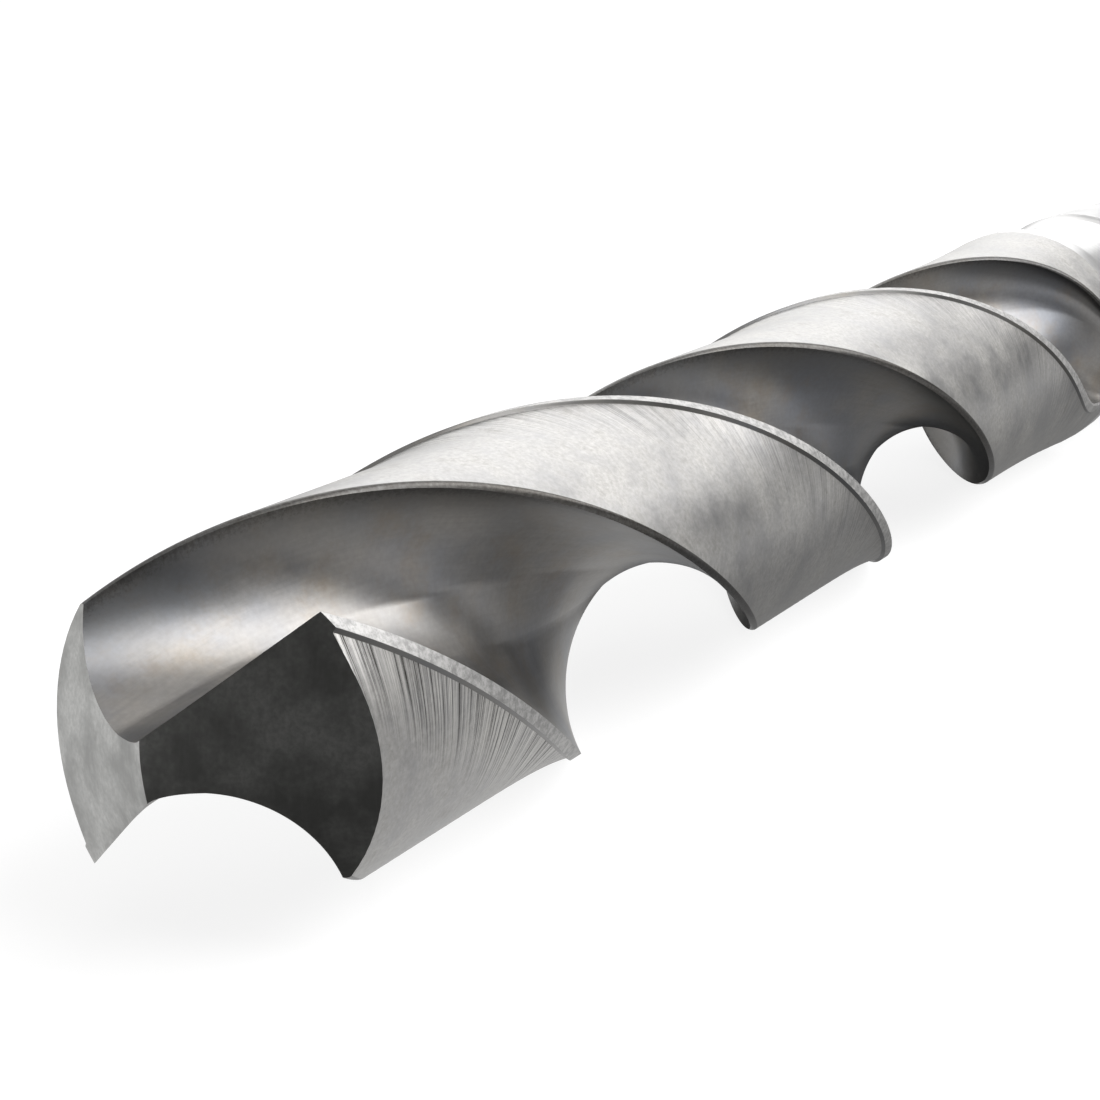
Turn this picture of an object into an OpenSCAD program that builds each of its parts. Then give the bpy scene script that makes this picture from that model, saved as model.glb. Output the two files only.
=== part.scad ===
// Taper shank twist drill, lying on its side with its axis along X.
// The origin is on the axis in the gauge plane of the taper, and the point looks to +X.

/* [Cutting end] */
// Diameter over the margins at the point
drill_d = 25; // [22:0.5:30]
// Angle between the two lips
point_angle = 127; // [118:1:140]
// Helix angle at the margins
helix_angle = 33.3; // [26:0.1:36]
// Length of the flutes, run-out included
flute_len = 160; // [120:1:180]
// Turn of the drill about its own axis as it lies
roll = 130; // [0:1:359]

/* [Web] */
// Distance between the two parallel lips
web_t = 3.06; // [2.6:0.02:3.6]
// Growth of the web towards the shank, for each 100 mm
web_growth = 1.6; // [0:0.1:2.5]
// Extra thickness of the web in the floor of the flutes
web_extra = 0.3; // [0.2:0.05:0.6]
// Angle of the chisel edge against the lips
chisel_angle = 55.5; // [50:0.5:60]

/* [Flutes] */
// Radius of the hollow between the web and the heel
flute_r = 11; // [10:0.1:12]
// Direction of the deepest line of a flute, against the lips
flute_dir = 70; // [66:1:74]
// Length over which the flutes run out
runout_len = 26; // [15:1:35]
// Round on the heel edge
heel_round = 0.6; // [0.2:0.1:1.2]
// Swell of the flute's wall just below the heel
heel_swell = 0.9; // [0:0.1:1.2]

/* [Lands] */
// Width of a margin across the axis
margin_w = 1.05; // [0.7:0.05:1.6]
// Depth of the step behind a margin
margin_step = 0.3; // [0.2:0.05:0.7]
// Depth of the body clearance at the heel
clearance = 0.8; // [0.4:0.05:1.1]
// Loss of diameter towards the shank, for each 100 mm
back_taper = 0.06; // [0:0.01:0.12]

/* [Point grind] */
// Relief of a flank just behind its lip
lip_relief = 7.6; // [5:0.2:12]
// Half angle of the cone that a flank is ground to
flank_cone = 62.7; // [58:0.1:68]
// Distance from the chisel corner back to the tip of that cone
flank_apex = 6.46; // [5:0.1:9]

/* [Neck] */
// Diameter of the neck
neck_d = 22.6; // [20:0.1:23.5]
// Length of the neck
neck_len = 18; // [10:1:40]
// Length of the round stretch between the flutes and the neck
collar_len = 4; // [2:0.5:8]
// Height of the collar over the lands
collar_step = 0.04; // [0.02:0.01:0.1]

/* [Taper shank] */
// Diameter of the taper in the gauge plane
gauge_d = 23.825; // [23.8:0.005:23.9]
// Length over which the taper changes by one millimetre in diameter
taper_run = 19.922; // [19:0.001:21]
// Length of the taper from the gauge plane to its small end
taper_len = 81; // [70:1:90]
// Reach of the taper past the gauge plane, towards the neck
gauge_reach = 5; // [3:0.5:7]
// Break of the edge at the large end
shank_chamfer = 0.6; // [0.3:0.1:1]

/* [Tang] */
// Thickness of the tang across its flats
tang_t = 7.9; // [7:0.1:10]
// Length of the turned end that carries the tang
tang_len = 13; // [10:0.5:18]
// Diameter of the turned end at the taper
tang_root_d = 19.1; // [18:0.1:19.5]
// Diameter of the turned end at its tip
tang_end_d = 18.5; // [17:0.1:19]
// Radius of the cutter at the root of the flats
tang_root_r = 7; // [5:0.5:9]
// Round on the tip of the turned end
tang_round = 2; // [1:0.25:3]
// Diameter of the centre hole in the tang
centre_d = 2.5; // [1.5:0.1:3]
// Diameter of the countersink of the centre hole
centre_sink_d = 5.3; // [4:0.1:6]

/* [Hidden] */
steel = "#a9abad";

radius = drill_d / 2;
lead = PI * drill_d / tan(helix_angle);
half_point = point_angle / 2;
half_web = web_t / 2;
// Half the length of the chisel edge along the lips
chisel_x = half_web / tan(chisel_angle);
tip_x = gauge_reach + neck_len + collar_len + flute_len;
tang_x = -(taper_len + tang_len);

// Number of sections along the flutes, and of points on each stretch of one
sections = 54;
lip_steps = 6;
hollow_steps = 7;
land_steps = 4;
margin_steps = 2;
round_steps = 2;
// Stock that stands before the point and is ground away
stock = 3;
corner_steps = 4;
// Share of its width that a flute keeps where it ends
runout_width = 0.25;

function lerp(a, b, t) = a + (b - a) * t;
function polar(r, angle) = [r * cos(angle), r * sin(angle)];
function angle_of(p) = atan2(p[1], p[0]);

// Sizes of the section at a depth s behind the point
function depth_of(i) = lerp(-stock, flute_len, i / sections);
function web_at(s) = half_web + web_growth * max(s, 0) / 200;
function radius_at(s) = radius - back_taper * s / 200;
function runout_at(s) = pow(max(0, (s - flute_len + runout_len) / runout_len), 2);
function swell_at(s) = heel_swell * min(1, max(0, s) / radius) * 180 / PI / radius;

// The face of a flute that leaves a straight lip, as a point at x along the lip
function lip_point(x, s) =
    let (w = web_at(s))
    polar(norm([x, w]), atan2(w, x) + 360 * (x - chisel_x) / tan(half_point) / lead);

// The hollow behind it is an arc that touches the core, up to the heel
function hollow_centre(s) = polar(web_at(s) + web_extra / 2 + flute_r, flute_dir);
function hollow_point(angle, s) = hollow_centre(s) + polar(flute_r, angle);
function hollow_start(s) =
    let (c = hollow_centre(s), drop = c[1] - web_at(s))
    angle_of([-sqrt(pow(flute_r, 2) - pow(drop, 2)), -drop]);
function hollow_end(s) =
    let (c = norm(hollow_centre(s)), r = radius_at(s) - clearance - heel_round / 2,
         turn = acos((c * c + r * r - flute_r * flute_r) / (2 * c * r)))
    angle_of(polar(r, flute_dir + turn) - hollow_centre(s));
function full_turn(angle) = angle < 0 ? angle + 360 : angle;

// One flute at a depth s, from the outer corner of the lip round to the heel
function flute_curve(s) =
    let (w = web_at(s), outer = sqrt(pow(radius_at(s), 2) - w * w),
         start = full_turn(hollow_start(s)), end = full_turn(hollow_end(s)),
         inner = hollow_point(start, s)[0])
    concat(
        [for (i = [0 : lip_steps - 1]) lip_point(lerp(outer, inner, sin(90 * i / lip_steps)), s)],
        [for (i = [0 : hollow_steps])
            turned(hollow_point(lerp(start, end, i / hollow_steps), s),
                   -swell_at(s) * pow(max(0, 2 * i / hollow_steps - 1), 2))]);

// Towards its end the flute rises to the surface and narrows
function risen(p, mid, s) =
    let (m = runout_at(s), r = radius_at(s),
         target = polar(r, lerp(mid, angle_of(p), lerp(1, runout_width, m))))
    lerp(p, target, m);

// The land from a heel to the next margin, between the angles from and to
function land_curve(from, to, s) =
    let (r = radius_at(s), cut = 1 - runout_at(s),
         soft = heel_round / r * 180 / PI, width = margin_w / r * 180 / PI,
         step = 0.35 * width, last = to - width)
    concat(
        [for (i = [1 : round_steps])
            polar(r - cut * (clearance + heel_round / 2 * pow(1 - i / round_steps, 2)),
                  from + soft * i / round_steps)],
        [for (i = [1 : land_steps])
            polar(r - cut * lerp(clearance, margin_step, i / land_steps),
                  lerp(from + soft, last - step, i / land_steps))],
        [for (i = [0 : margin_steps - 1]) polar(r, lerp(last, to, i / margin_steps))]);

// Half of a section: a flute and the land behind it
function half_section(s) =
    let (raw = flute_curve(s), mid = flute_dir, f = [for (p = raw) risen(p, mid, s)])
    concat(f, land_curve(angle_of(f[len(f) - 1]), 180 + angle_of(f[0]), s));
function turned(p, angle) =
    [p[0] * cos(angle) - p[1] * sin(angle), p[0] * sin(angle) + p[1] * cos(angle)];
function section(s) =
    let (half = half_section(s), twist = -360 * s / lead)
    [for (k = [0, 180]) for (p = half) concat(turned(p, k + twist), -s)];

// Beyond the flutes the stock is round and goes on inside the collar
function round_section(s) =
    [for (p = section(flute_len)) concat(polar(radius_at(flute_len), angle_of(p)), -s)];

// The stock with its flutes and lands, as sections joined into one skin
module fluted_stock() {
    rings = concat([for (i = [0 : sections]) section(depth_of(i))],
        [round_section(flute_len + collar_len / 2)]);
    n = len(rings[0]);
    top = len(rings) - 1;
    skin = [for (i = [0 : top - 1]) for (j = [0 : n - 1])
        let (k = (j + 1) % n, a = i * n, b = a + n)
        each [[a + j, a + k, b + j], [a + k, b + k, b + j]]];
    first = [for (j = [n - 1 : -1 : 0]) j];
    last = [for (j = [0 : n - 1]) top * n + j];
    polyhedron(points = [for (ring = rings) each ring], faces = concat(skin, [first], [last]));
}

// What the wheel takes off one flank: all above a cone that holds the lip as a straight line
module flank_waste() {
    reach = 1.3 * radius;
    depth = 1.6 * radius;
    lip = [sin(half_point), 0, -cos(half_point)];
    apex = [chisel_x, half_web, 0] - flank_apex * lip;
    cone_h = 3 * depth;
    difference() {
        translate([0, 0, -depth]) cylinder(h = depth + 2 * stock, r = reach);
        translate(apex)
            rotate([0, 90 - half_point, 0])
                rotate([180 + lip_relief, 0, 0])
                    rotate([0, 90 - flank_cone, 0])
                        cylinder(h = cone_h, r1 = 0, r2 = cone_h * tan(flank_cone), $fn = 180);
    }
}

module cutting_end() {
    difference() {
        fluted_stock();
        for (k = [0, 180]) rotate([0, 0, k]) flank_waste();
    }
}

// Radius of the taper at a place along the axis, from the gauge plane
function taper_r(x) = (gauge_d + x / taper_run) / 2;

// Outline of the collar, the neck, the taper and the turned end, as radius and place along the axis
function shank_outline() =
    let (neck_r = neck_d / 2, end_r = tang_end_d / 2, root_r = tang_root_d / 2,
         neck_top = gauge_reach + neck_len, collar_r = radius_at(flute_len) + collar_step,
         small_r = taper_r(-taper_len), edge = small_r - root_r,
         large_r = taper_r(gauge_reach - shank_chamfer))
    concat(
        [[0, neck_top + collar_len], [collar_r, neck_top + collar_len],
         [collar_r, neck_top + collar_r - neck_r], [neck_r, neck_top], [neck_r, gauge_reach],
         [large_r - shank_chamfer, gauge_reach], [large_r, gauge_reach - shank_chamfer],
         [small_r, -taper_len + edge], [root_r, -taper_len]],
        [for (a = [0 : 90 / corner_steps : 90])
            [end_r - tang_round, tang_x + tang_round] + polar(tang_round, -a)],
        [[0, tang_x]]);

module shank_blank() {
    rotate([0, 90, 0]) rotate_extrude($fn = 120) polygon(shank_outline());
}

// What the milling cutters take off the two sides of the tang
module tang_waste() {
    wide = tang_root_d + 2;
    for (side = [-1, 1]) {
        low = side > 0 ? tang_t / 2 : -tang_t / 2 - wide;
        translate([tang_x - 1, -wide, low]) cube([tang_len + 1, 2 * wide, wide]);
        translate([tang_x + tang_len, 0, side * (tang_t / 2 + tang_root_r)])
            rotate([90, 0, 0]) cylinder(h = 2 * wide, r = tang_root_r, center = true, $fn = 72);
    }
}

module centre_hole() {
    sink = (centre_sink_d - centre_d) / 2 / tan(30);
    rotate([0, 90, 0]) {
        translate([0, 0, tang_x - 1]) cylinder(h = 1 + sink + centre_d, d = centre_d, $fn = 48);
        translate([0, 0, tang_x]) cylinder(h = sink, d1 = centre_sink_d, d2 = centre_d, $fn = 48);
    }
}

module shank() {
    difference() {
        shank_blank();
        tang_waste();
        centre_hole();
    }
}

module drill_bit() {
    color(steel) resize([0, 0, 0]) {
        translate([tip_x, 0, 0]) rotate([0, 90, 0]) rotate([0, 0, roll]) cutting_end();
        shank();
    }
}

drill_bit();
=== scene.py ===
import math

import bpy
import numpy as np
from mathutils import Matrix, Vector


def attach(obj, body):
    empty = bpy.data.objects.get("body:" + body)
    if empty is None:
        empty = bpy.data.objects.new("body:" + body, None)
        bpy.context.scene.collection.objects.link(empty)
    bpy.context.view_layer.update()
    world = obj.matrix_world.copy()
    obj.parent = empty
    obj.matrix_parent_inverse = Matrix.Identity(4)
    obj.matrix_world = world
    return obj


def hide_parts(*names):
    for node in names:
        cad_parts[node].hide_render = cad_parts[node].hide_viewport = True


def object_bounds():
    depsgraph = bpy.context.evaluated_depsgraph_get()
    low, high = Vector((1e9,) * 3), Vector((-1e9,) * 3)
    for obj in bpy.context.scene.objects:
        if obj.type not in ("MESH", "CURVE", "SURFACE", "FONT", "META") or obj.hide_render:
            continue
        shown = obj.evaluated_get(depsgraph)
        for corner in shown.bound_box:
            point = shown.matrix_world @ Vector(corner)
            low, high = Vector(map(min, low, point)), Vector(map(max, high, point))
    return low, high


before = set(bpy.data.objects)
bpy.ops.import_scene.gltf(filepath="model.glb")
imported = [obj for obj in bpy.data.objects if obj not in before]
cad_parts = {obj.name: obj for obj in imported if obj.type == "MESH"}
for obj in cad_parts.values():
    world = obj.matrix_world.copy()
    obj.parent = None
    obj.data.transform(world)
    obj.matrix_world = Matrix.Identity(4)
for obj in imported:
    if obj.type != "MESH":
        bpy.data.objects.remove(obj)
cad_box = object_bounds()
print("packed drill, lowest and highest corner:", cad_box)

# %% [markdown]
# The photograph looks at the point from in front and above, so near that the far flutes look smaller. The
# camera stands where that perspective puts it, 290 mm from the gauge plane along the axis and 81 mm to one
# side.
# %% Camera
MM = 0.001
CAMERA_AT = (0.289744, 0.080928, 0.047045)
CAMERA_AIM = (-0.85275, -0.45553, -0.25557)
CAMERA_RIGHT = (-0.47132, 0.88196, 0.00061)
CAMERA_LENS = 79.086

bpy.ops.object.select_all(action="DESELECT")
bpy.ops.object.camera_add(location=CAMERA_AT)
camera = bpy.context.object
camera.name = "camera_main"
aim = np.array(CAMERA_AIM)
side = np.array(CAMERA_RIGHT)
up = np.cross(side, aim)
turn = np.stack([side, up, -aim], 1)
turn, _ = np.linalg.qr(turn)
turn *= np.sign((turn * np.stack([side, up, -aim], 1)).sum(0))
camera.rotation_euler = Matrix(turn.tolist()).to_euler()
camera.data.sensor_width = 36
camera.data.lens = CAMERA_LENS
camera.data.clip_start = 0.005
camera.data.clip_end = 10
bpy.context.scene.camera = camera
print("camera looks along", CAMERA_AIM, "with a lens of", CAMERA_LENS, "mm")

# %% [markdown]
# The light is a plain studio: a pale floor that the drill lies on, a white surround that the steel mirrors
# too, a large soft lamp at the side and two behind. All white round it, steel looks flat, so photographers
# set dark cards near it. Here one in front and one on the floor give the nearer flank its dark grey. A
# grey strip beside the drill and a dark one under it dim its underside, a pale one behind it tones the
# first land, and two grey cards model the flutes. The camera sees neither cards nor lamps.
# %% Floor, surround and lamps
scene = bpy.context.scene
scene.view_settings.view_transform = "Standard"


def seen_directly(tree):
    """One for rays from the camera and for those that metal or glass sends on, nothing for soft light."""
    path = tree.nodes.new("ShaderNodeLightPath")
    total = path.outputs["Is Camera Ray"]
    for kind in ("Is Glossy Ray", "Is Transmission Ray"):
        step = tree.nodes.new("ShaderNodeMath")
        step.operation = "MAXIMUM"
        tree.links.new(total, step.inputs[0])
        tree.links.new(path.outputs[kind], step.inputs[1])
        total = step.outputs[0]
    return total


bpy.ops.mesh.primitive_plane_add(size=3, location=(0.1, 0, cad_box[0][2]))
floor = bpy.context.object
floor.name = "floor"
floor_look = bpy.data.materials.new("pale_floor")
floor_look.use_nodes = True
tree = floor_look.node_tree
tree.nodes.clear()
out = tree.nodes.new("ShaderNodeOutputMaterial")
matt = tree.nodes.new("ShaderNodeBsdfDiffuse")
matt.inputs["Color"].default_value = (0.2, 0.2, 0.2, 1)
glow = tree.nodes.new("ShaderNodeEmission")
spot = tree.nodes.new("ShaderNodeTexCoord")
far_off = tree.nodes.new("ShaderNodeVectorMath")
far_off.operation = "LENGTH"
fade = tree.nodes.new("ShaderNodeMapRange")
for name, number in (("From Min", 0.3), ("From Max", 0.8), ("To Min", 0.84), ("To Max", 1)):
    fade.inputs[name].default_value = number
tree.links.new(spot.outputs["Object"], far_off.inputs[0])
tree.links.new(far_off.outputs["Value"], fade.inputs["Value"])
tree.links.new(fade.outputs["Result"], glow.inputs["Strength"])
both = tree.nodes.new("ShaderNodeAddShader")
pick = tree.nodes.new("ShaderNodeMixShader")
tree.links.new(matt.outputs[0], both.inputs[0])
tree.links.new(glow.outputs[0], both.inputs[1])
tree.links.new(seen_directly(tree), pick.inputs[0])
tree.links.new(matt.outputs[0], pick.inputs[1])
tree.links.new(both.outputs[0], pick.inputs[2])
tree.links.new(pick.outputs[0], out.inputs["Surface"])
floor.data.materials.append(floor_look)

world = bpy.data.worlds.new("white_surround")
scene.world = world
world.use_nodes = True
tree = world.node_tree
tree.nodes.clear()
out = tree.nodes.new("ShaderNodeOutputWorld")
plain = tree.nodes.new("ShaderNodeBackground")
plain.inputs["Color"].default_value = (1, 1, 1, 1)
plain.inputs["Strength"].default_value = 0.36
white = tree.nodes.new("ShaderNodeBackground")
white.inputs["Color"].default_value = (1, 1, 1, 1)
white.inputs["Strength"].default_value = 1
pick = tree.nodes.new("ShaderNodeMixShader")
tree.links.new(seen_directly(tree), pick.inputs[0])
tree.links.new(plain.outputs[0], pick.inputs[1])
tree.links.new(white.outputs[0], pick.inputs[2])
tree.links.new(pick.outputs[0], out.inputs["Surface"])


def soft_lamp(name, place, towards, size, power):
    """A square lamp at a place, turned to shine towards a point."""
    bpy.ops.object.light_add(type="AREA", location=place)
    lamp = bpy.context.object
    lamp.name = name
    lamp.data.shape = "SQUARE"
    lamp.data.size = size
    lamp.data.energy = power
    way = Vector(towards) - Vector(place)
    lamp.rotation_euler = way.to_track_quat("-Z", "Y").to_euler()


def card(name, place, towards, width, height, shade):
    """A plain matt card that only reflections see, as grey as its shade says."""
    bpy.ops.mesh.primitive_plane_add(size=1, location=place)
    sheet = bpy.context.object
    sheet.name = name
    sheet.scale = (width, height, 1)
    way = Vector(towards) - Vector(place)
    sheet.rotation_euler = way.to_track_quat("Z", "Y").to_euler()
    look = bpy.data.materials.new(name)
    look.use_nodes = True
    face = look.node_tree.nodes["Principled BSDF"]
    face.inputs["Base Color"].default_value = (0.02, 0.02, 0.02, 1)
    face.inputs["Roughness"].default_value = 1
    face.inputs["Emission Color"].default_value = (1, 1, 1, 1)
    face.inputs["Emission Strength"].default_value = shade
    sheet.data.materials.append(look)
    sheet.visible_camera = False
    sheet.visible_diffuse = False
    sheet.visible_shadow = False


soft_lamp("lamp_side", (-0.03, 0.47, 0.5), (0.17, 0, 0), 0.7, 8.0)
soft_lamp("lamp_low", (-0.42, 0.4, 0.27), (0.17, 0, 0), 0.5, 1.5)
soft_lamp("lamp_back", (-0.45, -0.2, 0.42), (0.1, 0, 0), 0.6, 2.6)
card("dark_card_front", (0.46, 0.18, 0.06), (0.19, 0, 0), 0.56, 0.66, 0.03)
card("dark_card_low", (0.345, 0.166, cad_box[0][2] + 0.002), (0.345, 0.166, 1), 0.33, 0.33, 0.03)
card("grey_card_under", (0.025, 0.022, cad_box[0][2] + 0.0005), (0.025, 0.022, 1), 0.24, 0.034, 0.38)
card("grey_card_side", (0.27, 0.38, 0.12), (0.17, 0, 0), 0.56, 0.5, 0.1)
card("grey_card_behind", (-0.22, 0.26, 0.03), (0.15, 0, 0.03), 0.9, 0.24, 0.2)
card("dark_card_under", (0.065, -0.013, cad_box[0][2] + 0.0005), (0.065, -0.013, 1), 0.1, 0.034, 0.02)
card("pale_card_behind", (0.17, -0.1, cad_box[0][2] + 0.0005), (0.17, -0.1, 1), 0.11, 0.2, 0.8)
print("floor at z =", round(cad_box[0][2] / MM, 2), "mm, three lamps, three dark cards and four paler ones")

# %% [markdown]
# The fluted bar has the same section all along, turned as it goes, so one outline swept along a screw
# makes it. Its sizes are those of the real drill. The face of a flute is curved so that the cone ground on
# the point leaves a straight lip; the hollow behind it is an arc that touches the core, swells a little
# below the heel and rounds over it; then come the relieved land, the step and the narrow margin.
# %% Sizes of the drill
RADIUS = 12.5
TIP_X = 187.0
ROLL = math.radians(130)
HALF_POINT = math.radians(63.5)
LEAD = math.pi * 2 * RADIUS / math.tan(math.radians(33.3))
FLUTE_LEN = 160.0
HALF_WEB = 1.53
CHISEL_X = HALF_WEB / math.tan(math.radians(55.5))
HOLLOW_R = 11.0
HOLLOW_WAY = math.radians(70)
RUN_OUT = 26.0
MARGIN_W = 1.05
MARGIN_STEP = 0.3
CLEARANCE = 0.8
HEEL_ROUND = 0.6
HEEL_SWELL = 0.9
WEB_GROWTH, BACK_TAPER, PER_LENGTH = 1.6, 0.06, 200
MM_PER_CM = 10
HOLLOW_GAP = 0.15
RUN_OUT_ARC = 0.25
STEP_PART = 0.2
STOCK = 3.0
LIP_STEPS, HOLLOW_STEPS, HEEL_STEPS, LAND_STEPS, STEP_STEPS, MARGIN_STEPS = 18, 40, 7, 18, 3, 5
SEAM_BEFORE, SEAM_AFTER, SEAM_PASSES, LIP_PASSES = 6, 10, 120, 6
SEAM_GROWTH = 8.0


def web_at(s):
    """Half the core's thickness at a depth s behind the point: it grows towards the shank."""
    return HALF_WEB + WEB_GROWTH * max(s, 0) / PER_LENGTH


def radius_at(s):
    """The drill's radius over the margins, with its slight back taper."""
    return RADIUS - BACK_TAPER * s / PER_LENGTH


def run_out_at(s):
    """Nothing along the flutes, then rising to one where they end."""
    return max(0, (s - FLUTE_LEN + RUN_OUT) / RUN_OUT) ** 2


def polar(r, angle):
    """Points at a distance and an angle from the middle."""
    return np.stack([r * np.cos(angle), r * np.sin(angle)], -1)


def turned(p, angle):
    """Points turned about the middle."""
    c, s = np.cos(angle), np.sin(angle)
    return np.stack([p[..., 0] * c - p[..., 1] * s, p[..., 0] * s + p[..., 1] * c], -1)


print("lead of the flutes:", round(LEAD, 1), "mm")


# %% [markdown]
# Half of a section is one flute and the land behind it, and the other half is the same turned by half a
# turn. It could be drawn as a curve by eye. A formula is used here, because the lip comes out straight
# only when the face of the flute follows the cone of the point.
# %% Outline of one flute and the land behind it
def flute_outline(s):
    """The wall of one flute at a depth s behind the point, from the lip's corner round to the heel."""
    web = web_at(s)
    centre = polar(web + HOLLOW_GAP + HOLLOW_R, HOLLOW_WAY)
    drop = centre[1] - web
    start = math.atan2(-drop, -math.sqrt(HOLLOW_R**2 - drop**2)) % (2 * math.pi)
    far = np.hypot(*centre)
    low = radius_at(s) - CLEARANCE - HEEL_ROUND / 2
    swing = math.acos((far**2 + low**2 - HOLLOW_R**2) / (2 * far * low))
    heel = polar(low, HOLLOW_WAY + swing) - centre
    end = math.atan2(heel[1], heel[0]) % (2 * math.pi)
    outer = math.sqrt(radius_at(s) ** 2 - web**2)
    inner = centre[0] + HOLLOW_R * math.cos(start)
    t = np.sin(np.linspace(0, math.pi / 2, LIP_STEPS + 1)[:-1])
    x = outer + (inner - outer) * t
    behind = (x - CHISEL_X) / math.tan(HALF_POINT)
    face = polar(np.hypot(x, web), np.arctan2(web, x) + 2 * math.pi * behind / LEAD)
    t = np.linspace(0, 1, HOLLOW_STEPS + 1)
    swell = HEEL_SWELL * min(1, max(0, s) / RADIUS) / RADIUS * np.maximum(0, 2 * t - 1) ** 2
    hollow = turned(centre + polar(HOLLOW_R, start + (end - start) * t), -swell)
    wall = np.concatenate([face, hollow])
    seam = np.arange(LIP_STEPS - SEAM_BEFORE, LIP_STEPS + SEAM_AFTER)
    grown = min(1, max(0, s) / SEAM_GROWTH)
    for _ in range(int(LIP_PASSES + (SEAM_PASSES - LIP_PASSES) * grown)):
        wall[seam] = (wall[seam - 1] + 2 * wall[seam] + wall[seam + 1]) / 4
    return wall


def half_outline(s):
    """A flute and the land behind it: half of a section."""
    wall = flute_outline(s)
    rise = run_out_at(s)
    r = radius_at(s)
    around = np.arctan2(wall[:, 1], wall[:, 0])
    target = polar(r, HOLLOW_WAY + (around - HOLLOW_WAY) * (1 + (RUN_OUT_ARC - 1) * rise))
    wall = wall + (target - wall) * rise
    first = math.atan2(wall[0, 1], wall[0, 0])
    heel = math.atan2(wall[-1, 1], wall[-1, 0])
    soft, width = HEEL_ROUND / r, MARGIN_W / r
    last = math.pi + first - width
    step = STEP_PART * width
    cut = 1 - rise
    t = np.linspace(0, 1, HEEL_STEPS + 1)[1:]
    nose = polar(r - cut * (CLEARANCE + HEEL_ROUND / 2 * (1 - t) ** 2), heel + soft * t)
    t = np.linspace(0, 1, LAND_STEPS + 1)[1:]
    fall = CLEARANCE + (MARGIN_STEP - CLEARANCE) * t**8
    land = polar(r - cut * fall, heel + soft + (last - step - heel - soft) * t)
    t = np.linspace(0, 1, STEP_STEPS + 1)[1:-1]
    rise_up = polar(r - cut * MARGIN_STEP * (1 - np.sin(t * math.pi / 2) ** 2), last - step + step * t)
    t = np.linspace(0, 1, MARGIN_STEPS + 1)[:-1]
    margin = polar(np.full(MARGIN_STEPS, r), last + width * t)
    return np.concatenate([wall, nose, land, rise_up, margin])


def outline(s):
    """The whole section at a depth s, turned with the flutes."""
    half = half_outline(s)
    return turned(np.concatenate([half, turned(half, math.pi)]), -2 * math.pi * s / LEAD)


COUNT = len(outline(0))
print("one section has", COUNT, "points")

# %% [markdown]
# A circle with that many points is set to the outline, and a Screw modifier sweeps it, as one would by
# hand. The web grows towards the shank and the flutes run out, so each ring of the sweep is then set to
# its own outline. The rings stand closer together near the point, where the drill is looked at most.
# %% Sweep the fluted bar
NEAR_LEN, NEAR_STEP, FAR_STEP = 40, 0.4, 0.8
near = np.arange(-STOCK, NEAR_LEN, NEAR_STEP)
far = np.arange(NEAR_LEN, FLUTE_LEN + FAR_STEP / 2, FAR_STEP)
depths = np.concatenate([near, far])
COLLAR_LEN = 4.0
NECK_R = 11.3
drop = radius_at(FLUTE_LEN) - NECK_R
collar_depths = [FLUTE_LEN + COLLAR_LEN - drop, FLUTE_LEN + COLLAR_LEN + drop]

bpy.ops.object.select_all(action="DESELECT")
bpy.ops.mesh.primitive_circle_add(vertices=COUNT, radius=RADIUS, fill_type="NOTHING")
bar = bpy.context.object
bar.name = "drill_bit_finished"
sweep = bar.modifiers.new("sweep", "SCREW")
sweep.axis = "Z"
sweep.steps = sweep.render_steps = len(depths) + 1
sweep.angle = -2 * math.pi * FLUTE_LEN / LEAD
sweep.screw_offset = -FLUTE_LEN
sweep.use_merge_vertices = False
bpy.ops.object.modifier_apply(modifier="sweep")

rings = [np.column_stack([outline(s), np.full(COUNT, -s)]) for s in depths]
round_way = np.arctan2(rings[-1][:, 1], rings[-1][:, 0])
body_r = radius_at(FLUTE_LEN)
for depth, r in zip(collar_depths, (body_r, body_r - 2 * drop)):
    rings.append(np.column_stack([polar(np.full(COUNT, r), round_way), np.full(COUNT, -depth)]))
points = np.concatenate(rings)
print("rings:", len(rings), "points swept:", len(bar.data.vertices), "points set:", len(points))
bar.data.vertices.foreach_set("co", points.ravel())
bar.data.update()

# %% [markdown]
# Each band of the section has its own finish, so the faces get their material slot here, by the place of a
# face in its ring. The same place gives a UV map that runs round the section and along the flute, for
# marks that follow it.
# %% Bands and the map along the flutes
FLUTE, LAND, MARGIN, SHANK = 0, 1, 2, 3
HALF = COUNT // 2
WALL = LIP_STEPS + HOLLOW_STEPS
band = np.full(HALF, LAND)
band[: WALL + HEEL_STEPS] = FLUTE
band[HALF - MARGIN_STEPS - STEP_STEPS : HALF - MARGIN_STEPS] = FLUTE
band[HALF - MARGIN_STEPS :] = MARGIN
band = np.concatenate([band, band])
corners = np.empty(len(bar.data.loops), dtype=int)
bar.data.loops.foreach_get("vertex_index", corners)
quads = corners.reshape(-1, 4)
place, ring = quads % COUNT, quads // COUNT
wraps = (place.max(1) == COUNT - 1) & (place.min(1) == 0)
first = np.where(wraps, COUNT - 1, place.min(1))
slots = np.where(ring.min(1) >= len(depths) - 1, SHANK, band[first])
bar.data.polygons.foreach_set("material_index", slots.astype(np.int32))
edge = outline(0.0)
length = np.concatenate([[0], np.cumsum(np.hypot(*(np.roll(edge, -1, 0) - edge).T))])
depth_list = np.concatenate([depths, collar_depths])
u = np.where(wraps[:, None] & (place == 0), length[-1], length[place])
flow = np.stack([u / MM_PER_CM, depth_list[ring] / MM_PER_CM], -1)
chart = bar.data.uv_layers.new(name="flow")
chart.data.foreach_set("uv", flow.ravel())
print("faces in the flutes:", int((slots == FLUTE).sum()), "on the margins:", int((slots == MARGIN).sum()))

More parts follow.
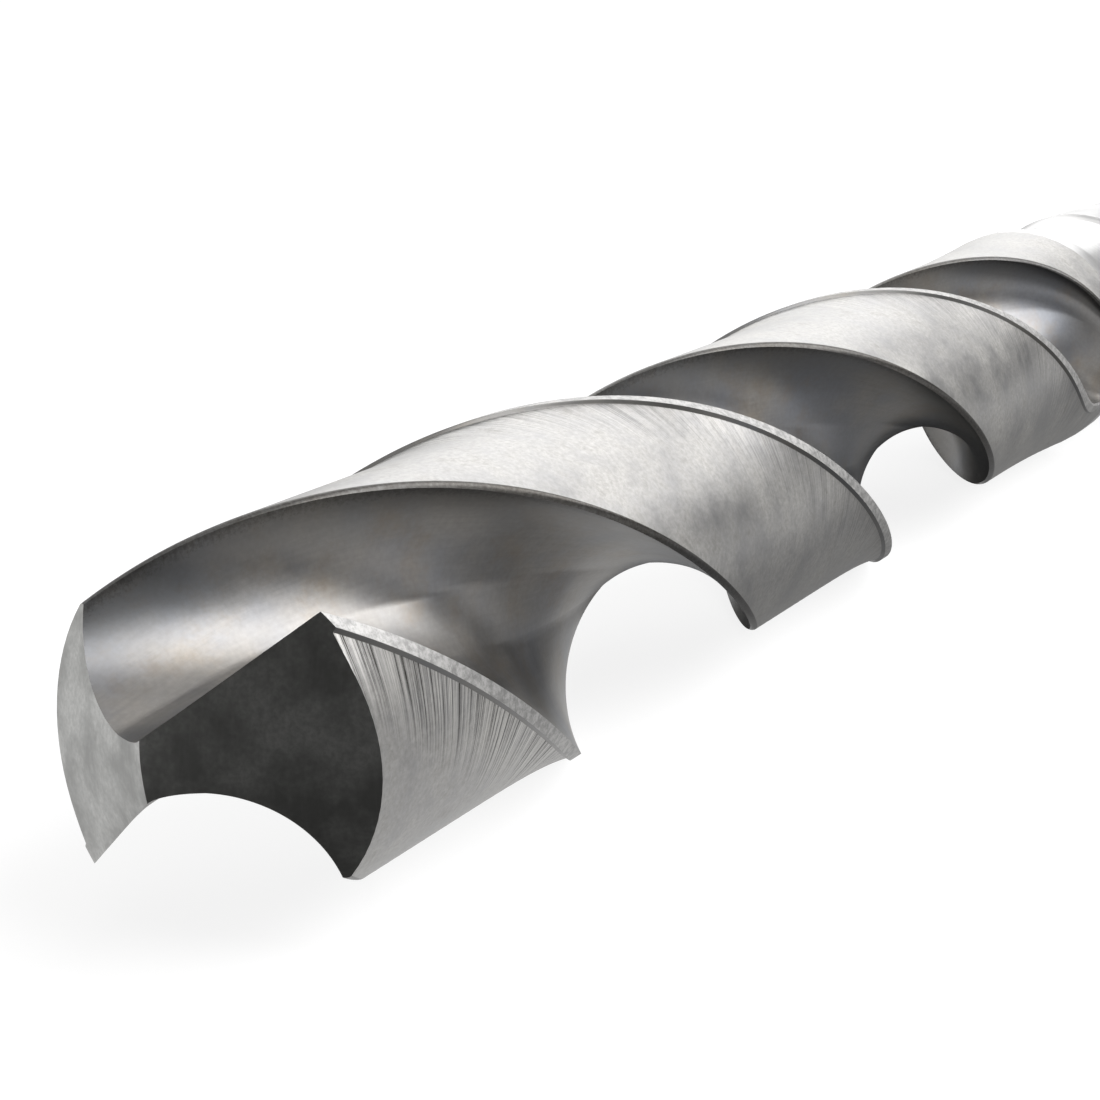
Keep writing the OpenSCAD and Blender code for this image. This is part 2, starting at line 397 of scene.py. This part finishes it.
# %% [markdown]
# The sweep is open at both ends. The front cap lies in the stock that the point is ground from, and the
# back one is hidden in the neck, so each is filled with one flat face.
# %% Close the two ends
bpy.ops.object.mode_set(mode="EDIT")
bpy.ops.mesh.select_all(action="SELECT")
bpy.ops.mesh.fill_holes(sides=0)
bpy.ops.mesh.select_all(action="SELECT")
bpy.ops.mesh.normals_make_consistent(inside=False)
bpy.ops.object.mode_set(mode="OBJECT")
print("bar has", len(bar.data.polygons), "faces")

# %% [markdown]
# Steel is all the drill is made of, so its finishes differ only in how it was ground: satin in the flutes,
# coarse crosswise scratches on the lands, frosty margins, cloudy flanks and turned lines on the shank.
# Image textures could do it, but noise in the shader has no seams and stays sharp at any distance. A few
# small helpers add one node each, so that every finish below reads as a list of what lies on the steel.
# %% Helpers for ground steel
def noise(look, source, scale, detail=3, rough=0.6, stretch=(1, 1, 1), turn=(0, 0, 0)):
    """A noise node of its own scale, turned and stretched, on the given coordinates."""
    nodes, links = look.node_tree.nodes, look.node_tree.links
    way = nodes.new("ShaderNodeMapping")
    way.inputs["Rotation"].default_value = turn
    way.inputs["Scale"].default_value = stretch
    links.new(source, way.inputs["Vector"])
    grain = nodes.new("ShaderNodeTexNoise")
    grain.inputs["Scale"].default_value = scale
    grain.inputs["Detail"].default_value = detail
    grain.inputs["Roughness"].default_value = rough
    links.new(way.outputs["Vector"], grain.inputs["Vector"])
    return grain.outputs["Fac"]


def spread(look, value, low, high, to_low=0.0, to_high=1.0):
    """Maps the part of a value between low and high to another range."""
    stage = look.node_tree.nodes.new("ShaderNodeMapRange")
    for name, number in (("From Min", low), ("From Max", high), ("To Min", to_low), ("To Max", to_high)):
        stage.inputs[name].default_value = number
    look.node_tree.links.new(value, stage.inputs["Value"])
    return stage.outputs["Result"]


def maths(look, kind, first, second):
    """One Math node: two values, or a value and a number."""
    step = look.node_tree.nodes.new("ShaderNodeMath")
    step.operation = kind
    look.node_tree.links.new(first, step.inputs[0])
    if isinstance(second, (int, float)):
        step.inputs[1].default_value = second
    else:
        look.node_tree.links.new(second, step.inputs[1])
    return step.outputs[0]


def tint(look, factor, first, second):
    """Mixes two colours, each a plain colour or a node's output, by a factor."""
    mix = look.node_tree.nodes.new("ShaderNodeMix")
    mix.data_type = "RGBA"
    look.node_tree.links.new(factor, mix.inputs["Factor"])
    for name, colour in (("A", first), ("B", second)):
        socket = [i for i in mix.inputs if i.name == name and i.type == "RGBA"][0]
        if isinstance(colour, tuple):
            socket.default_value = (*colour, 1)
        else:
            look.node_tree.links.new(colour, socket)
    return [o for o in mix.outputs if o.type == "RGBA"][0]


def plain_steel(name):
    """A metal material with its Object and flow coordinates ready."""
    look = bpy.data.materials.new(name)
    look.use_nodes = True
    face = look.node_tree.nodes["Principled BSDF"]
    face.inputs["Metallic"].default_value = 1
    spot = look.node_tree.nodes.new("ShaderNodeTexCoord").outputs["Object"]
    where = look.node_tree.nodes.new("ShaderNodeUVMap")
    where.uv_map = "flow"
    return look, face, spot, where.outputs["UV"]


def rough_up(look, face, height, depth, strength=0.6):
    """Turns a height into a bump of a real depth in millimetres."""
    bump = look.node_tree.nodes.new("ShaderNodeBump")
    bump.inputs["Strength"].default_value = strength
    bump.inputs["Distance"].default_value = depth * MM
    look.node_tree.links.new(height, bump.inputs["Height"])
    look.node_tree.links.new(bump.outputs["Normal"], face.inputs["Normal"])


half_round = float(length[HALF] / MM_PER_CM)
margin_from = float(length[HALF - MARGIN_STEPS - STEP_STEPS] / MM_PER_CM)
heel_at = float(length[WALL] / MM_PER_CM)
nose_at = float(length[WALL + HEEL_STEPS] / MM_PER_CM)


def along_half(look, flow_map):
    """How far a place is round its half of the section, from the corner of the lip, in centimetres."""
    parts = look.node_tree.nodes.new("ShaderNodeSeparateXYZ")
    look.node_tree.links.new(flow_map, parts.inputs[0])
    return maths(look, "MODULO", parts.outputs[0], half_round)


# %% [markdown]
# The flutes are ground smooth but not polished: a satin grey with soft clouds, faint lines along the
# flute, brown stains and a bluish cast. Towards the heel, where the hollow swells in under it, the wall
# gets painted shade, and its rim is specked with dark grime. The map round the section tells how near
# the heel and the rim a place is, so the painted shade and the grime follow the edge along the whole flute.
# %% Satin flutes
flute_look, face, spot, flow_map = plain_steel("satin_flute")
join = flute_look.node_tree.links.new
clouds = noise(flute_look, spot, 130, 5, 0.6)
streaks = noise(flute_look, flow_map, 1, 4, 0.65, stretch=(30, 1.6, 1))
grain = noise(flute_look, spot, 2600, 2, 0.5)
body = tint(flute_look, spread(flute_look, clouds, 0.35, 0.65), (0.18, 0.177, 0.175), (0.248, 0.233, 0.213))
body = tint(flute_look, spread(flute_look, streaks, 0.4, 0.75, 0, 0.45), body, (0.153, 0.149, 0.142))
blue = spread(flute_look, noise(flute_look, spot, 95, 3, 0.5, stretch=(1, 1.4, 1)), 0.42, 0.62, 0, 0.75)
body = tint(flute_look, blue, body, (0.149, 0.159, 0.181))
stain = spread(flute_look, noise(flute_look, spot, 160, 6, 0.72), 0.5, 0.7, 0, 0.55)
body = tint(flute_look, stain, body, (0.171, 0.135, 0.095))
body = tint(flute_look, spread(flute_look, grain, 0.25, 0.75, 0, 0.3), body, (0.113, 0.108, 0.101))
reach = along_half(flute_look, flow_map)
# Painted shade: the wall is painted darker towards the heel, where the hollow swells in under it.
shade = spread(flute_look, reach, heel_at - 0.55, heel_at, 0, 0.68)
body = tint(flute_look, shade, body, (0.081, 0.08, 0.077))
rim = spread(flute_look, reach, heel_at - 0.13, nose_at, 0, 0.7)
specks = maths(flute_look, "ADD", rim, noise(flute_look, spot, 3600, 5, 0.75))
in_flute = spread(flute_look, reach, nose_at + 0.02, nose_at + 0.01)
specks = maths(flute_look, "MULTIPLY", spread(flute_look, specks, 0.7, 1.2, 0, 0.85), in_flute)
body = tint(flute_look, specks, body, (0.032, 0.029, 0.026))
join(body, face.inputs["Base Color"])
join(spread(flute_look, clouds, 0.3, 0.7, 0.33, 0.44), face.inputs["Roughness"])
rough_up(flute_look, face, maths(flute_look, "ADD", streaks, grain), 0.006)

# %% [markdown]
# The lands were ground across, and the wheel left scratches that start at the step behind the margin
# and fade before the middle of the land. Noise stretched thin along the drill's axis gives them, and a
# mask from the map round the section, ragged with a second noise, lets each one end at its own length.
# Behind the first land they grow faint, so the mask also fades along the axis.
# %% Scratched lands
land_look, face, spot, flow_map = plain_steel("scratched_land")
join = land_look.node_tree.links.new
reach = noise(land_look, spot, 1, 2, 0.6, stretch=(900, 30, 30))
near_margin = spread(land_look, along_half(land_look, flow_map), margin_from - 0.7, margin_from + 0.05)
ragged = maths(land_look, "MULTIPLY", near_margin, maths(land_look, "ADD", reach, 0.35))
near_margin = spread(land_look, ragged, 0.12, 0.6)
way_along = land_look.node_tree.nodes.new("ShaderNodeSeparateXYZ")
join(spot, way_along.inputs[0])
fresh = spread(land_look, way_along.outputs["X"], 0.13, 0.16, 0.3, 1)
near_margin = maths(land_look, "MULTIPLY", near_margin, fresh)
scratch = noise(land_look, spot, 1, 5, 0.75, stretch=(6800, 60, 60))
clouds = noise(land_look, spot, 210, 6, 0.7)
grime = noise(land_look, spot, 420, 6, 0.75)
grain = noise(land_look, spot, 2600, 4, 0.7)
body = tint(land_look, spread(land_look, clouds, 0.35, 0.65), (0.226, 0.224, 0.225), (0.367, 0.359, 0.344))
body = tint(land_look, spread(land_look, grime, 0.54, 0.7, 0, 0.55), body, (0.141, 0.136, 0.128))
body = tint(land_look, spread(land_look, grain, 0.35, 0.65, 0, 0.5), body, (0.169, 0.165, 0.16))
dark = maths(land_look, "MULTIPLY", spread(land_look, scratch, 0.53, 0.6), near_margin)
bright = maths(land_look, "MULTIPLY", spread(land_look, scratch, 0.49, 0.41), near_margin)
body = tint(land_look, bright, body, (0.414, 0.406, 0.389))
body = tint(land_look, dark, body, (0.042, 0.04, 0.037))
join(body, face.inputs["Base Color"])
join(spread(land_look, clouds, 0.3, 0.7, 0.38, 0.5), face.inputs["Roughness"])
height = maths(land_look, "MULTIPLY", scratch, near_margin)
rough_up(land_look, face, maths(land_look, "ADD", height, grain), 0.007)

# %% [markdown]
# The margins rub on the wall of the hole, which leaves them pale and frosty. Fine noise in colour,
# roughness and bump is enough, because each is only a millimetre wide.
# %% Frosty margins
margin_look, face, spot, flow_map = plain_steel("frosty_margin")
join = margin_look.node_tree.links.new
frost = noise(margin_look, spot, 1900, 5, 0.75)
body = tint(margin_look, spread(margin_look, frost, 0.4, 0.6), (0.21, 0.208, 0.205), (0.37, 0.365, 0.358))
join(body, face.inputs["Base Color"])
join(spread(margin_look, frost, 0.3, 0.7, 0.5, 0.62), face.inputs["Roughness"])
rough_up(margin_look, face, frost, 0.012)

# %% [markdown]
# The flanks come from the face of a grinding wheel: even, a little glossier than the lands, with a cloudy
# tone and barely seen lines. How dark a flank looks is left to what it mirrors, and its own colour stays
# that of the steel.
# %% Ground flanks
flank_look, face, spot, flow_map = plain_steel("ground_flank")
join = flank_look.node_tree.links.new
grain = noise(flank_look, spot, 3200, 3, 0.6)
lines = noise(flank_look, spot, 1, 3, 0.6, stretch=(250, 3600, 250), turn=(math.radians(35), 0, 0))
clouds = noise(flank_look, spot, 260, 4, 0.6)
body = tint(flank_look, spread(flank_look, clouds, 0.38, 0.62), (0.26, 0.26, 0.252), (0.48, 0.48, 0.467))
body = tint(flank_look, spread(flank_look, grain, 0.35, 0.65, 0, 0.45), body, (0.23, 0.23, 0.221))
body = tint(flank_look, spread(flank_look, lines, 0.5, 0.7, 0, 0.12), body, (0.468, 0.459, 0.451))
join(body, face.inputs["Base Color"])
face.inputs["Roughness"].default_value = 0.3
rough_up(flank_look, face, grain, 0.004)

# %% [markdown]
# The collar, the neck and the taper are finished between centres, so their lines run round the axis. Noise
# that is stretched across the axis shows as rings.
# %% Turned shank
shank_look, face, spot, flow_map = plain_steel("turned_shank")
join = shank_look.node_tree.links.new
patches = noise(shank_look, spot, 60, 4, 0.6)
lines = noise(shank_look, spot, 1, 3, 0.65, stretch=(4000, 60, 60))
body = tint(shank_look, spread(shank_look, patches, 0.36, 0.64), (0.35, 0.35, 0.35), (0.45, 0.446, 0.442))
body = tint(shank_look, spread(shank_look, lines, 0.45, 0.7, 0, 0.4), body, (0.24, 0.24, 0.24))
join(body, face.inputs["Base Color"])
join(spread(shank_look, patches, 0.3, 0.7, 0.26, 0.36), face.inputs["Roughness"])
rough_up(shank_look, face, lines, 0.008)
for look in (flute_look, land_look, margin_look, shank_look):
    bar.data.materials.append(look)
print("finishes:", [m.name for m in bar.data.materials])

# %% [markdown]
# A grinding wheel leaves each flank as part of a cone, and the lip is one straight line of that cone. What
# the wheel takes off is a round block with that cone hollowed out of it, so the block is made first and
# then cut from the bar, once for each flank. The faces that it cuts take the block's own material, which
# gives the flanks theirs.
# %% Grind the point
RELIEF = math.radians(7.6)
FLANK_CONE = math.radians(62.7)
FLANK_APEX = 6.46
WASTE_DEPTH, WASTE_TOP = 15.0, 6.0
WASTE_R = 1.3 * RADIUS
CONE_DEPTH = 30.0
lip_way = Vector((math.sin(HALF_POINT), 0, -math.cos(HALF_POINT)))
apex = Vector((CHISEL_X, HALF_WEB, 0)) - FLANK_APEX * lip_way


def cut_away(piece, tool):
    """Cuts the tool's solid from a piece and removes the tool."""
    bpy.ops.object.select_all(action="DESELECT")
    bpy.context.view_layer.objects.active = piece
    piece.select_set(True)
    cut = piece.modifiers.new("cut", "BOOLEAN")
    cut.operation = "DIFFERENCE"
    cut.solver = "EXACT"
    cut.material_mode = "TRANSFER"
    cut.object = tool
    bpy.ops.object.modifier_apply(modifier="cut")
    bpy.data.objects.remove(tool)


for half_turn in (0, math.pi):
    bpy.ops.object.select_all(action="DESELECT")
    wide = CONE_DEPTH * math.tan(FLANK_CONE)
    bpy.ops.mesh.primitive_cone_add(
        vertices=540, radius1=0, radius2=wide, depth=CONE_DEPTH, location=(0, 0, CONE_DEPTH / 2)
    )
    cone = bpy.context.object
    bpy.ops.object.transform_apply(location=True)
    cone.data.materials.append(flank_look)
    cone.matrix_world = (
        Matrix.Rotation(half_turn, 4, "Z")
        @ Matrix.Translation(apex)
        @ Matrix.Rotation(math.pi / 2 - HALF_POINT, 4, "Y")
        @ Matrix.Rotation(math.pi + RELIEF, 4, "X")
        @ Matrix.Rotation(math.pi / 2 - FLANK_CONE, 4, "Y")
    )
    bpy.ops.object.select_all(action="DESELECT")
    middle = (0, 0, (WASTE_TOP - WASTE_DEPTH) / 2)
    bpy.ops.mesh.primitive_cylinder_add(
        vertices=48, radius=WASTE_R, depth=WASTE_TOP + WASTE_DEPTH, location=middle
    )
    waste = bpy.context.object
    waste.data.materials.append(flank_look)
    cut_away(waste, cone)
    cut_away(bar, waste)
    print("flank ground: faces now", len(bar.data.polygons), flush=True)
print("slots", [m.name for m in bar.data.materials])

# %% [markdown]
# The neck, the taper and the turned end are round, so their outline is drawn once and spun about the axis.
# The two flats of the tang are then milled off, each with a round root like that of the cutter.
# %% Neck, taper and tang
GAUGE_R = 23.825 / 2
TAPER = 1 / 19.922
TANG_HALF, ROOT_AT, ROOT_R = 3.95, -74.0, 7.0
MILL_LEN, MILL_WIDTH, MILL_HEIGHT = 21, 40, 20


def taper_r(x):
    """The radius of the taper at a distance from the gauge plane."""
    return GAUGE_R + x * TAPER / 2


NECK_OUTLINE = [(26, 0), (26, NECK_R), (5.9, NECK_R), (5.55, 11.36), (5.2, 11.5)]
TAPER_OUTLINE = [(x, taper_r(x)) for x in (4.4, 4.1, -40, -80.67)]
TANG_OUTLINE = [(-81, 9.55), (-91.8, 9.27), (-92.6, 9.1), (-93.3, 8.66), (-93.75, 8.0), (-94, 7.25)]
CENTRE_HOLE = [(-94, 2.8), (-93.9, 2.62), (-91.58, 1.25), (-89.1, 1.25), (-88.5, 0)]
SHANK_OUTLINE = NECK_OUTLINE + TAPER_OUTLINE + TANG_OUTLINE + CENTRE_HOLE
bpy.ops.object.select_all(action="DESELECT")
bpy.ops.mesh.primitive_circle_add(vertices=len(SHANK_OUTLINE), radius=1, fill_type="NOTHING")
shank = bpy.context.object
for vertex, (x, r) in zip(shank.data.vertices, SHANK_OUTLINE):
    vertex.co = (x, 0, r)
bpy.ops.object.mode_set(mode="EDIT")
bpy.ops.mesh.select_all(action="SELECT")
bpy.ops.mesh.spin(steps=144, angle=2 * math.pi, center=(0, 0, 0), axis=(1, 0, 0))
bpy.ops.mesh.select_all(action="SELECT")
bpy.ops.mesh.remove_doubles(threshold=0.001)
bpy.ops.mesh.select_all(action="SELECT")
bpy.ops.mesh.normals_make_consistent(inside=False)
bpy.ops.object.mode_set(mode="OBJECT")
shank.data.materials.append(shank_look)
for side_of in (-1, 1):
    bpy.ops.object.select_all(action="DESELECT")
    middle = (ROOT_AT - MILL_LEN / 2, 0, side_of * (TANG_HALF + MILL_HEIGHT / 2))
    bpy.ops.mesh.primitive_cube_add(size=1, location=middle)
    mill = bpy.context.object
    mill.scale = (MILL_LEN, MILL_WIDTH, MILL_HEIGHT)
    bpy.ops.object.transform_apply(location=True, scale=True)
    mill.data.materials.append(shank_look)
    for line in mill.data.edges:
        ends = [mill.data.vertices[v].co for v in line.vertices]
        line.select = all(abs(e.x - ROOT_AT) < 0.01 and abs(abs(e.z) - TANG_HALF) < 0.01 for e in ends)
    bpy.context.view_layer.objects.active = mill
    bpy.ops.object.mode_set(mode="EDIT")
    bpy.ops.mesh.select_mode(type="EDGE")
    bpy.ops.mesh.bevel(offset=ROOT_R, segments=16, profile=0.5, affect="EDGES")
    bpy.ops.object.mode_set(mode="OBJECT")
    cut_away(shank, mill)
print("shank faces:", len(shank.data.polygons))

# %% [markdown]
# The bar was made upright and the shank along the axis, both in millimetres. The bar is laid down and
# turned as the drill lies, joined to the shank and brought to metres. Its place is applied to the mesh,
# so the object itself stays at the origin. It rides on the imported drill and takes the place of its
# faceted skin.
# %% Put the drill together in the frame
bpy.ops.object.select_all(action="DESELECT")
bpy.context.view_layer.objects.active = bar
bar.select_set(True)
lie_down = Matrix.Rotation(math.pi / 2, 4, "Y") @ Matrix.Rotation(ROLL, 4, "Z")
bar.matrix_world = Matrix.Translation((TIP_X, 0, 0)) @ lie_down
bpy.ops.object.transform_apply(location=True, rotation=True, scale=True)
shank.select_set(True)
bpy.ops.object.join()
bar.scale = (MM, MM, MM)
bpy.ops.object.transform_apply(location=True, rotation=True, scale=True)
bpy.ops.object.shade_smooth_by_angle(angle=math.radians(24))
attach(bar, "root")
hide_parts("drill_bit")
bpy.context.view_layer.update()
